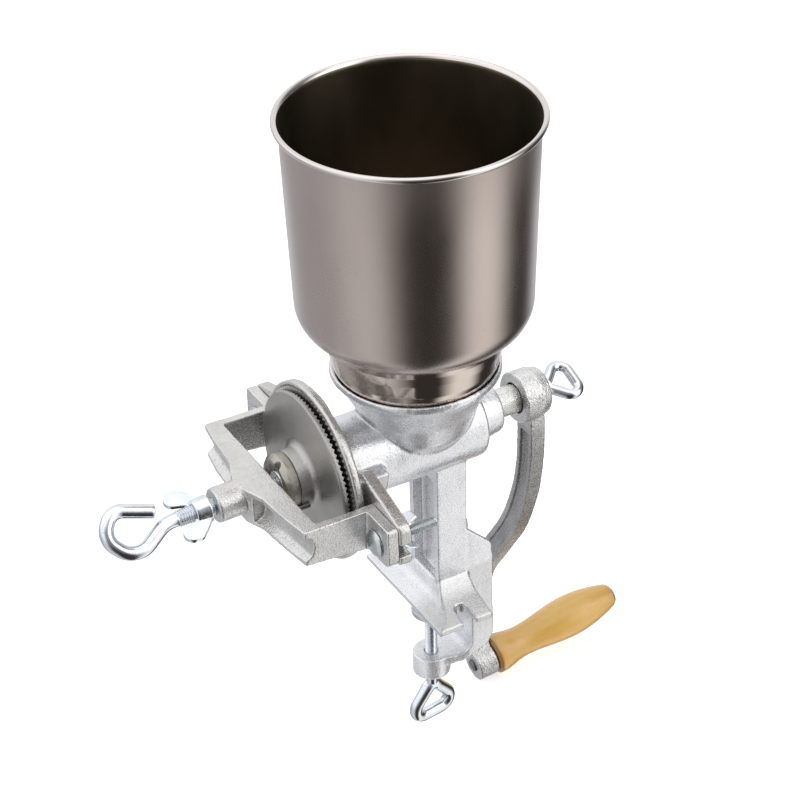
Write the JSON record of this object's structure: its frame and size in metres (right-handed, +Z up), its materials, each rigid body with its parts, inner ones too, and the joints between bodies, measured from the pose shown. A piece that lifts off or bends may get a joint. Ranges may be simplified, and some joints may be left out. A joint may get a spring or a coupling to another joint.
{
  "type": "hand-cranked grain mill",
  "caption": "Hand-cranked burr grain mill with a tall steel hopper, tinned cast-iron body, screw-adjusted yoke, wooden crank handle and table clamp.",
  "frame": {"origin": "on the underside of the table jaw, on the axis of the clamp screw", "axes": "+Z up along the clamp screw, +Y along the drive shaft towards the crank, +X to the right when seen from the burr side"},
  "size_m": [0.172, 0.3816, 0.4673],
  "materials": {
    "tinned_iron": "tinned rough casting, satin to bright, sandy texture",
    "burr_iron": "tinned casting, greyer, lightly worn",
    "hopper_steel": "spun sheet, satin plated, polished rim",
    "bolt_steel": "zinc-plated steel, slightly dull",
    "zinc_steel": "bright zinc-plated steel",
    "varnished_wood": "turned light wood, glossy clear varnish"
  },
  "bodies": {
    "frame": {"mill_body": "tinned_iron", "fixed_burr": "burr_iron", "fixed_burr_screws": "bolt_steel", "yoke": "tinned_iron", "yoke_bolt_right": "bolt_steel", "yoke_bolt_left": "bolt_steel"},
    "hopper": {"hopper": "hopper_steel"},
    "thrust": {"thrust_ball": "zinc_steel"},
    "adjuster": {"adjusting_screw": "zinc_steel"},
    "lock_nut": {"adjusting_wing_nut": "zinc_steel"},
    "rotor": {"auger": "burr_iron", "rotating_burr": "burr_iron", "drive_collar": "burr_iron", "cross_pin": "bolt_steel", "drive_dog": "bolt_steel", "crank_arm": "tinned_iron", "handle_spindle": "bolt_steel", "handle_cap": "bolt_steel"},
    "grip": {"handle_grip": "varnished_wood"},
    "crank_screw": {"crank_screw": "zinc_steel"},
    "pad": {"clamp_pad": "zinc_steel"},
    "clamp": {"clamp_screw": "zinc_steel"},
    "nut_right": {"yoke_wing_nut_right": "bolt_steel"},
    "nut_left": {"yoke_wing_nut_left": "bolt_steel"}
  },
  "joints": [
    {"name": "hopper_lift", "type": "slide", "parent": "frame", "child": "hopper", "axis": [0, 0, 1], "range_m": [0, 0.06]},
    {"name": "grind_adjust", "type": "slide", "parent": "frame", "child": "thrust", "axis": [0, 1, 0], "range_m": [-0.0025, 0.00035]},
    {"name": "adjusting_screw_turn", "type": "hinge", "parent": "thrust", "child": "adjuster", "pos_m": [0, -0.13, 0.119], "axis": [0, 1, 0], "range_deg": [-606, 90]},
    {"name": "lock_nut_turn", "type": "hinge", "parent": "adjuster", "child": "lock_nut", "pos_m": [0, -0.148, 0.119], "axis": [0, 1, 0], "continuous": true},
    {"name": "crank_turn", "type": "hinge", "parent": "thrust", "child": "rotor", "pos_m": [0, 0, 0.119], "axis": [0, 1, 0], "continuous": true},
    {"name": "grip_spin", "type": "hinge", "parent": "rotor", "child": "grip", "pos_m": [-0.0467, 0.07479, -0.12551], "axis": [0, 0.993, 0.1184], "continuous": true},
    {"name": "crank_screw_turn", "type": "hinge", "parent": "rotor", "child": "crank_screw", "pos_m": [0, 0.08, 0.119], "axis": [0, 1, 0], "continuous": true},
    {"name": "clamp_travel", "type": "slide", "parent": "frame", "child": "pad", "axis": [0, 0, 1], "range_m": [-0.028, 0.006]},
    {"name": "clamp_screw_turn", "type": "hinge", "parent": "pad", "child": "clamp", "pos_m": [0, 0, -0.06], "axis": [0, 0, 1], "range_deg": [-8100, 1764]},
    {"name": "yoke_nut_right_turn", "type": "hinge", "parent": "frame", "child": "nut_right", "pos_m": [0.0713, -0.058, 0.1129], "axis": [0, 1, 0], "continuous": true},
    {"name": "yoke_nut_left_turn", "type": "hinge", "parent": "frame", "child": "nut_left", "pos_m": [-0.0713, -0.058, 0.1129], "axis": [0, 1, 0], "continuous": true}
  ],
  "couplings": [
    {"joint": "adjusting_screw_turn", "follows": "grind_adjust", "rad_per_m": 4188.8},
    {"joint": "clamp_screw_turn", "follows": "clamp_travel", "rad_per_m": 5026.5}
  ]
}
